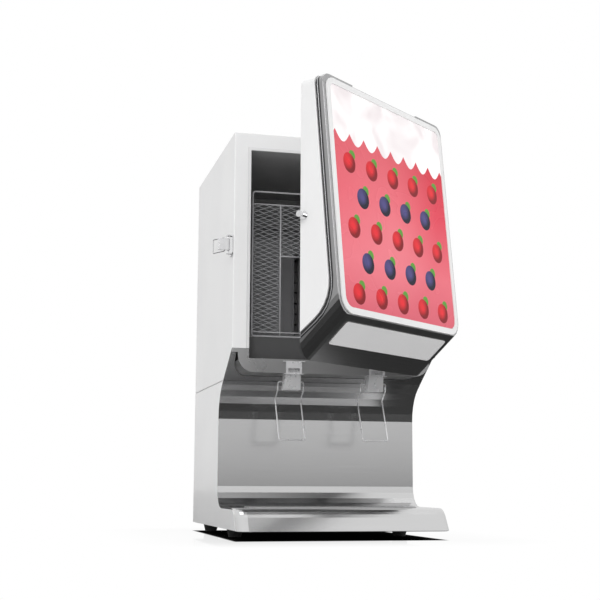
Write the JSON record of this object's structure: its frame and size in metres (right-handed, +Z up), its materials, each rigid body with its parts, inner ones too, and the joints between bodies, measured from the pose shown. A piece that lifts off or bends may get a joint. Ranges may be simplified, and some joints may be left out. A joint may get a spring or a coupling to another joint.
{
  "type": "juice dispenser",
  "caption": "Countertop chilled juice dispenser with a hinged backlit door, lift-in crates, push-lever pinch taps, a curved splash wall and a drip tray.",
  "frame": {"origin": "centre of the box the machine fills at rest, on the counter", "axes": "+Z up, the user in front at -Y, +X to the user's right, where the door is hinged"},
  "size_m": [0.492, 0.8202, 0.8555],
  "materials": {
    "white_paint": "satin white powder coat",
    "brushed_steel": "fine brushed grain",
    "polished_chrome": "polished plate",
    "silver_plastic": "silver lacquer",
    "dark_liner": "dark grey moulding",
    "black_plastic": "black moulding",
    "soft_rubber": "matt black",
    "foam": null,
    "brushed_aluminium": "brushed grain",
    "coated_wire": "grey epoxy coat",
    "backlit_print": "translucent printed acrylic",
    "lamp_board": "white board",
    "galvanised_sheet": "zinc-coated sheet",
    "bare_aluminium": "mill finish",
    "black_paint": "satin black"
  },
  "bodies": {
    "cabinet": {"upper_shell": "white_paint", "left_lower_panel": "white_paint", "right_lower_panel": "white_paint", "upper_back_panel": "white_paint", "louvred_back_panel": "white_paint", "cowl": "brushed_steel", "splash_skin": "brushed_steel", "tap_housing": "silver_plastic", "opening_trim": "silver_plastic", "insulation": "foam", "liner": "dark_liner", "crate_shelf": "dark_liner", "evaporator_cover": "dark_liner", "left_crate": "coated_wire", "left_crate_guard": "coated_wire", "right_crate": "coated_wire", "right_crate_guard": "coated_wire", "mains_inlet": "black_plastic", "base_plate": "galvanised_sheet", "middle_deck": "galvanised_sheet", "front_left_foot": "soft_rubber", "front_right_foot": "soft_rubber", "rear_left_foot": "soft_rubber", "rear_right_foot": "soft_rubber", "compressor": "black_paint", "condenser": "bare_aluminium", "fan_shroud": "black_plastic", "upper_hinge_bracket": "galvanised_sheet", "lower_hinge_bracket": "galvanised_sheet", "latch_base": "polished_chrome", "left_tap_bracket": "polished_chrome", "left_tap_body": "polished_chrome", "left_tap_spring": "polished_chrome", "left_tap_cap": "black_plastic", "right_tap_bracket": "polished_chrome", "right_tap_body": "polished_chrome", "right_tap_spring": "polished_chrome", "right_tap_cap": "black_plastic"},
    "door": {"door_shell": "white_paint", "door_core": "foam", "door_band": "black_plastic", "door_frame": "brushed_aluminium", "door_bezel": "white_paint", "display_print": "backlit_print", "lamp_board": "lamp_board", "chin_plate": "silver_plastic", "door_gasket": "soft_rubber", "upper_hinge_pin": "polished_chrome", "lower_hinge_pin": "polished_chrome", "latch_keeper": "polished_chrome"},
    "latch_lever": {"latch_lever": "polished_chrome"},
    "latch_loop": {"latch_loop": "polished_chrome"},
    "drip_tray": {"drip_tray": "brushed_steel"},
    "drip_grid": {"drip_grid": "brushed_steel"},
    "fan": {"fan": "silver_plastic"},
    "left_tap_lever": {"left_tap_rocker": "black_plastic", "left_tap_bail": "polished_chrome"},
    "right_tap_lever": {"right_tap_rocker": "black_plastic", "right_tap_bail": "polished_chrome"}
  },
  "joints": [
    {"name": "door_hinge", "type": "hinge", "parent": "cabinet", "child": "door", "pos_m": [0.20525, -0.11019, 0.6], "axis": [0, 0, 1], "range_deg": [-39.6, 60.4]},
    {"name": "latch_lever_turn", "type": "hinge", "parent": "cabinet", "child": "latch_lever", "pos_m": [-0.21875, -0.05719, 0.59], "axis": [0, 0, 1], "range_deg": [-80, 0]},
    {"name": "latch_loop_turn", "type": "hinge", "parent": "latch_lever", "child": "latch_loop", "pos_m": [-0.22669, -0.05904, 0.59], "axis": [0, 0, 1], "range_deg": [0, 230]},
    {"name": "drip_tray_lift", "type": "slide", "parent": "cabinet", "child": "drip_tray", "axis": [0, 0, 1], "range_m": [0, 0.05]},
    {"name": "drip_grid_lift", "type": "slide", "parent": "drip_tray", "child": "drip_grid", "axis": [0, 0, 1], "range_m": [0, 0.03]},
    {"name": "fan_spin", "type": "hinge", "parent": "cabinet", "child": "fan", "pos_m": [0.10525, 0.31251, 0.0978], "axis": [0, 1, 0], "continuous": true},
    {"name": "left_tap_push", "type": "hinge", "parent": "cabinet", "child": "left_tap_lever", "pos_m": [-0.08255, -0.04419, 0.3145], "axis": [1, 0, 0], "range_deg": [0, 18], "stiffness_Nm_per_rad": 0.4, "springref_deg": -14.32, "deforming": ["left_tap_spring"]},
    {"name": "right_tap_push", "type": "hinge", "parent": "cabinet", "child": "right_tap_lever", "pos_m": [0.09305, -0.04419, 0.3145], "axis": [1, 0, 0], "range_deg": [0, 18], "stiffness_Nm_per_rad": 0.4, "springref_deg": -14.32, "deforming": ["right_tap_spring"]}
  ],
  "couplings": [
    {"joint": "latch_loop_turn", "follows": "latch_lever_turn", "ratio": -2.875}
  ]
}
